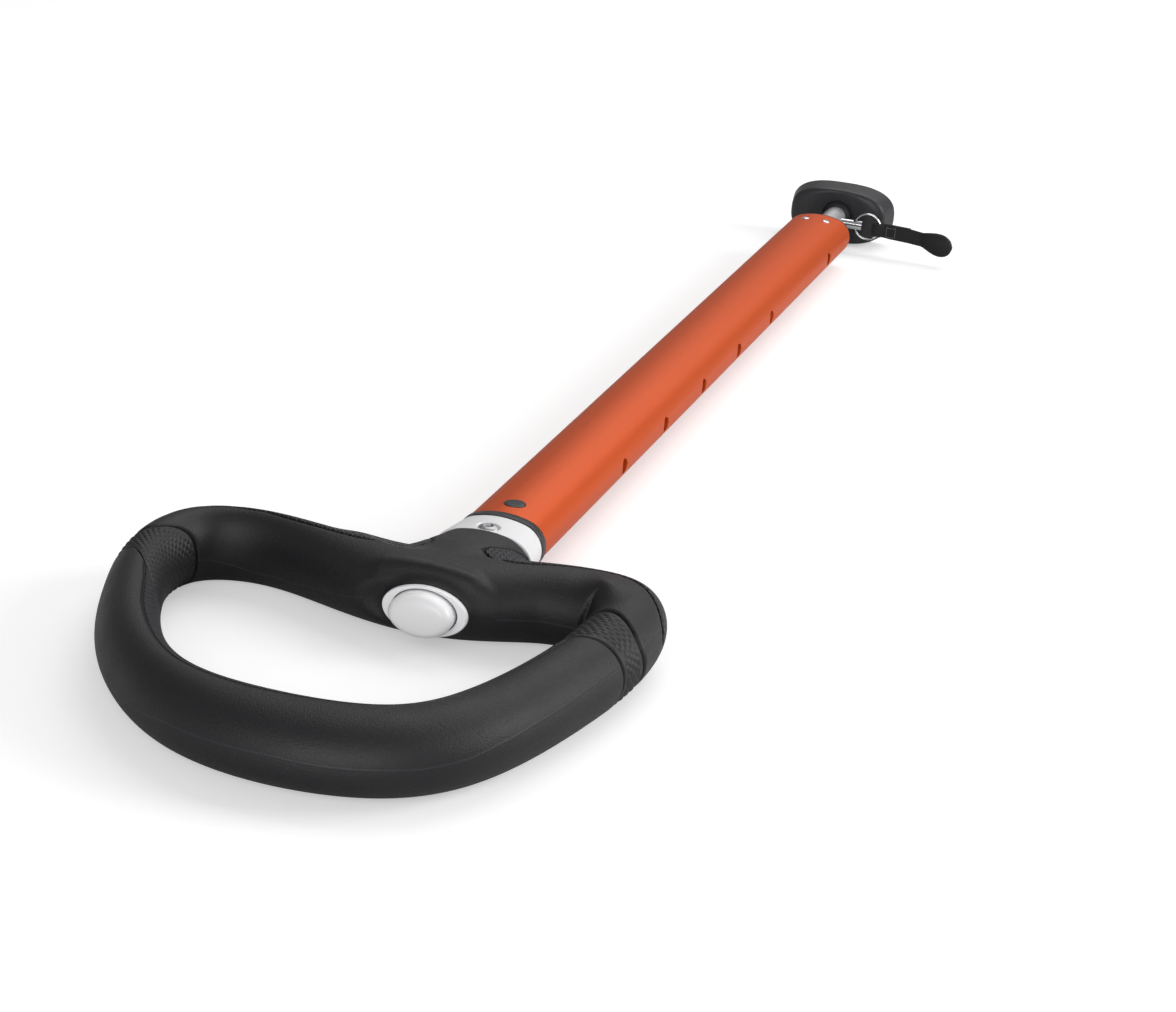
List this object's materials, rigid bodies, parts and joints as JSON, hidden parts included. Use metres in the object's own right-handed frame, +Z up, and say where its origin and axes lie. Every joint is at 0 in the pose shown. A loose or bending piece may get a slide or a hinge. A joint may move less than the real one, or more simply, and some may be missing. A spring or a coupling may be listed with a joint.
{
  "type": "tiller extension",
  "caption": "Telescopic oval tiller extension with a closed-loop hand grip, push-button length latch and a swivelling foot with a quick-release pin.",
  "frame": {"origin": "centre of the foot's mounting face, on the tube's axis", "axes": "+Y along the tube towards the boat's tiller, +Z up from the surface that the part lies on, +X to the side of the index holes"},
  "size_m": [0.1602, 0.6165, 0.024],
  "materials": {
    "orange_tube": "burnt orange anodised, satin",
    "plain_aluminium": "natural anodised",
    "stainless": "polished stainless steel",
    "brass_insert": "turned brass",
    "black_moulding": "satin black moulding",
    "textured_black": "black moulding with a raised scale texture",
    "soft_grip": "fine-grained matte soft moulding",
    "white_moulding": "white, slightly glossy moulding",
    "white_nylon": "natural nylon",
    "webbing": "black woven tape, folded and stitched"
  },
  "bodies": {
    "tube": {"outer_tube": "orange_tube", "tube_bush": "black_moulding", "end_plug": "black_moulding", "end_screws": "stainless", "end_sleeve": "stainless", "ball_stud": "stainless"},
    "handle": {"inner_tube": "plain_aluminium", "handle_core": "textured_black", "near_grip": "soft_grip", "hub_grip": "soft_grip", "button_bezel": "white_moulding", "collar": "white_moulding", "collar_screw": "stainless", "latch_block": "white_nylon", "block_pin": "stainless", "button_spring": "stainless", "latch_spring": "stainless"},
    "button": {"push_button": "white_moulding", "push_rod": "stainless"},
    "latch": {"latch_pin": "stainless"},
    "pin": {"release_pin": "stainless"},
    "ring": {"split_ring": "stainless"},
    "tab": {"pull_tab": "webbing", "tab_end": "black_moulding"},
    "seat": {"ball_seat": "white_nylon"},
    "foot": {"foot": "black_moulding", "seat_plug": "black_moulding", "foot_inserts": "brass_insert"}
  },
  "joints": [
    {"name": "handle_slide", "type": "slide", "parent": "tube", "child": "handle", "axis": [0, -1, 0], "range_m": [0, 0.188]},
    {"name": "button_press", "type": "slide", "parent": "handle", "child": "button", "axis": [0, 1, 0], "range_m": [0, 0.0045], "stiffness_N_per_m": 600, "deforming": ["button_spring"]},
    {"name": "latch_draw", "type": "slide", "parent": "handle", "child": "latch", "axis": [-1, 0, 0], "range_m": [0, 0.0027], "deforming": ["latch_spring"]},
    {"name": "pin_pull", "type": "slide", "parent": "tube", "child": "pin", "axis": [1, 0, 0], "range_m": [0, 0.0102]},
    {"name": "ring_swing", "type": "hinge", "parent": "pin", "child": "ring", "pos_m": [0.01045, -0.022, 0], "axis": [0, 0, 1], "range_deg": [-60, 0]},
    {"name": "tab_swing", "type": "hinge", "parent": "ring", "child": "tab", "pos_m": [0.0213, -0.022, 0], "axis": [0, 0, 1], "range_deg": [-25, 20]},
    {"name": "foot_pitch", "type": "hinge", "parent": "tube", "child": "seat", "pos_m": [0, -0.009, 0], "axis": [1, 0, 0], "range_deg": [-18, 18]},
    {"name": "foot_yaw", "type": "hinge", "parent": "seat", "child": "foot", "pos_m": [0, -0.009, 0], "axis": [0, 0, 1], "range_deg": [-12, 12]}
  ],
  "couplings": [
    {"joint": "latch_draw", "follows": "button_press", "ratio": 0.6}
  ]
}
